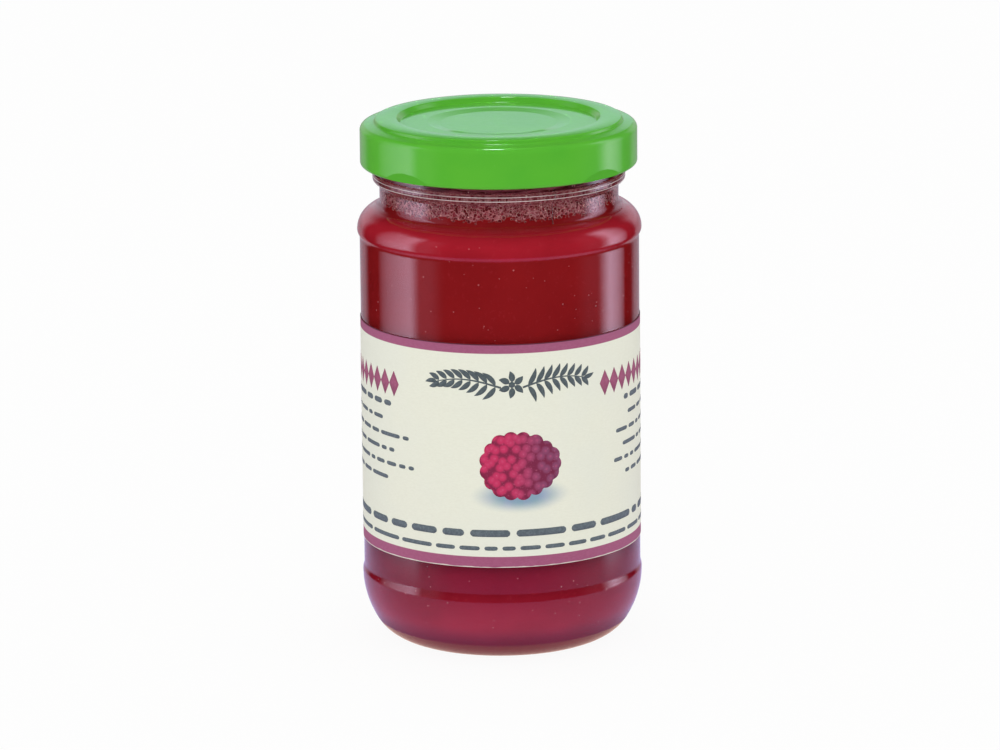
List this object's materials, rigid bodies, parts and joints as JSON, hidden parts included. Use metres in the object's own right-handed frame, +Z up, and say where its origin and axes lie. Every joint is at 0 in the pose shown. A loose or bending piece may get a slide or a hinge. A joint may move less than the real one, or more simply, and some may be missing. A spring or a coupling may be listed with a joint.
{
  "type": "jar of fruit nectar",
  "caption": "Round glass jar with a curved heel, a wrap-around paper label and a twist-off lug lid, filled with red fruit nectar under a band of foam.",
  "frame": {"origin": "on the axis of the jar, at the level of the flat ring that it stands on", "axes": "+Z up along the axis; -Y is the front of the label, +X to its right"},
  "size_m": [0.0684, 0.0684, 0.1276],
  "materials": {
    "glass": "clear, glossy",
    "nectar": "opaque red liquid, wet gloss",
    "foam": "fine bubbles",
    "label": "matt paper, cream with mauve edge bands",
    "lid": "glossy green lacquer on tinplate"
  },
  "bodies": {
    "root": {"jar": "glass", "nectar": "nectar", "foam": "foam", "label": "label", "lid": "lid"}
  },
  "joints": []
}
